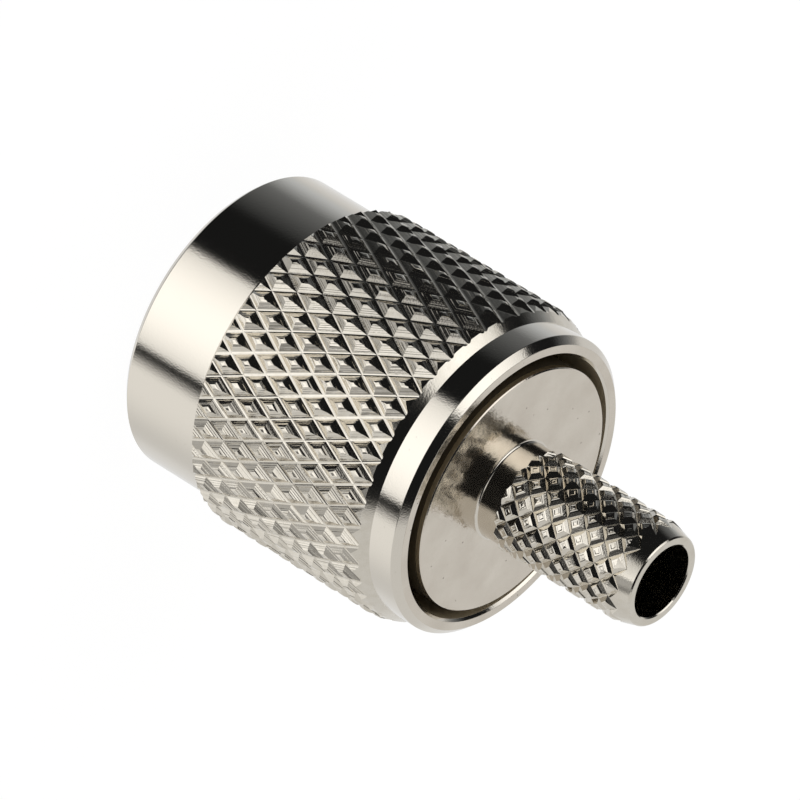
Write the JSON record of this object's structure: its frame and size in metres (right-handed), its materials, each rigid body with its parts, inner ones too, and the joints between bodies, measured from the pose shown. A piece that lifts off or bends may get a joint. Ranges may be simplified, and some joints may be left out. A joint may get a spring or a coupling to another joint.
{
  "type": "screw-coupled coaxial cable plug",
  "caption": "Straight coaxial crimp plug: a diamond-knurled coupling nut turns freely on a nickel-plated body with a knurled crimp stem and a pin contact inside.",
  "frame": {"origin": "centre of the coupling nut's front face, on which the plug stands", "axes": "+Z along the plug's axis, from the mating end to the cable end"},
  "size_m": [0.0144, 0.0144, 0.0234],
  "materials": {
    "nickel": "bright nickel plate on turned brass",
    "bronze": "bare spring bronze",
    "gold": "gold flash on turned brass",
    "ptfe": "turned white fluoropolymer",
    "silicone": "moulded silicone rubber"
  },
  "bodies": {
    "body": {"crimp_body": "nickel", "outer_contact": "nickel", "insulator": "ptfe", "centre_pin": "gold", "gasket": "silicone"},
    "ring": {"snap_ring": "bronze"},
    "nut": {"coupling_nut": "nickel"}
  },
  "joints": [
    {"name": "nut_end_play", "type": "slide", "parent": "body", "child": "ring", "axis": [0, 0, 1], "range_m": [-0.0003, 0]},
    {"name": "nut_spin", "type": "hinge", "parent": "ring", "child": "nut", "pos_m": [0, 0, 0.0122], "axis": [0, 0, 1], "continuous": true}
  ]
}
